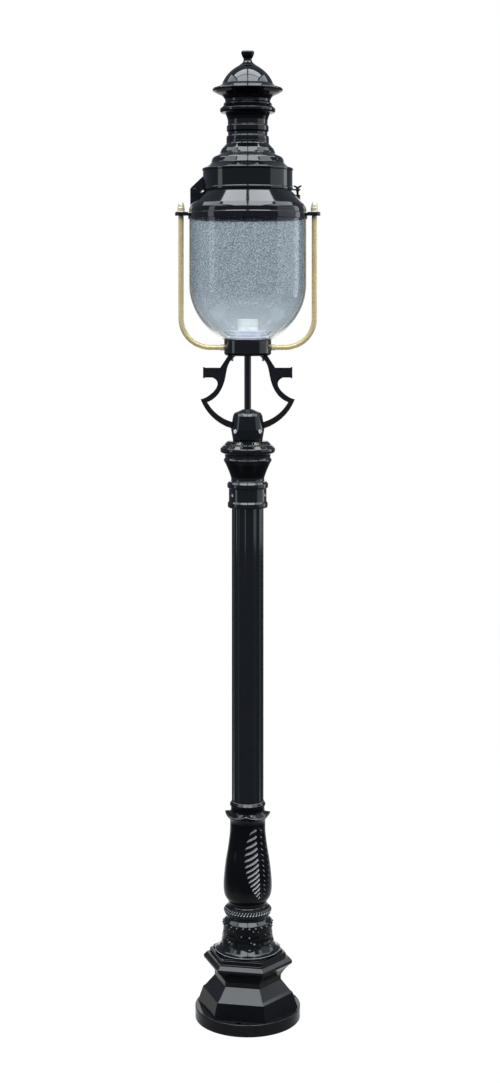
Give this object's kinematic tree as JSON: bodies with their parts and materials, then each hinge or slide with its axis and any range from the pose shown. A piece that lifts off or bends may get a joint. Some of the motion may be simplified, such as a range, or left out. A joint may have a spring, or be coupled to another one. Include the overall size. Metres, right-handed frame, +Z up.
{
  "type": "outdoor lantern",
  "caption": "Lamp-post lantern: cast hexagonal pedestal, fluted column and scroll brackets carry a glass bowl between brass arms, under a hinged ventilated lid.",
  "frame": {"origin": "centre of the round foot, on the ground, which is the centre of the anchor holes' circle", "axes": "+Z up the post; the brass arms and the scroll brackets lie in the XZ plane, the lid's hinge is on the -X side and the thumb screw on the +X side"},
  "size_m": [0.347, 0.286, 2.2995],
  "materials": {
    "black_paint": "gloss",
    "brass": "satin",
    "plated_steel": "satin",
    "white_holder": "gloss",
    "pale_seal": "translucent satin",
    "black_rubber": "matte",
    "clear_glass": "clear"
  },
  "bodies": {
    "post": {"pedestal_base": "black_paint", "pedestal_bell": "black_paint", "rope_collar": "black_paint", "baluster": "black_paint", "column_tube": "black_paint", "capital": "black_paint", "post_top_dome": "black_paint", "stem_tube": "black_paint", "left_frog_bracket": "black_paint", "right_frog_bracket": "black_paint", "gallery_cup": "black_paint", "canopy": "black_paint", "left_arm": "brass", "right_arm": "brass", "arm_collars": "brass", "acorn_nuts": "brass", "arm_washers": "brass", "arm_nuts": "brass", "centre_contact": "brass", "tie_rod": "plated_steel", "tie_washers": "plated_steel", "tie_nuts": "plated_steel", "capital_grub_screws": "plated_steel", "dome_screws": "plated_steel", "stem_nuts": "plated_steel", "bracket_screws": "plated_steel", "lamp_plate": "plated_steel", "plate_screws": "plated_steel", "holder_nipple": "plated_steel", "nipple_nut": "plated_steel", "socket_shell": "plated_steel", "lampholder_body": "white_holder", "lampholder_ring": "white_holder", "seal_ring": "pale_seal", "cable_grommet": "black_rubber", "bowl_gasket": "black_rubber", "rim_gasket": "black_rubber", "lid_gasket": "black_rubber", "glass_bowl": "clear_glass"},
    "lid": {"lid_drum": "black_paint", "chimney": "black_paint", "hood": "black_paint", "finial": "black_paint", "finial_rod": "plated_steel", "clamp_bar": "plated_steel", "rod_nut": "plated_steel", "hinge_pin": "black_paint"},
    "latch": {"thumb_screw": "black_paint"}
  },
  "joints": [
    {"name": "lid_hinge", "type": "hinge", "parent": "post", "child": "lid", "pos_m": [-0.126, 0, 1.9665], "axis": [0, -1, 0], "range_deg": [0, 100]},
    {"name": "thumb_screw_turn", "type": "hinge", "parent": "lid", "child": "latch", "pos_m": [0.119, 0, 1.9665], "axis": [0, 0, 1], "continuous": true}
  ]
}
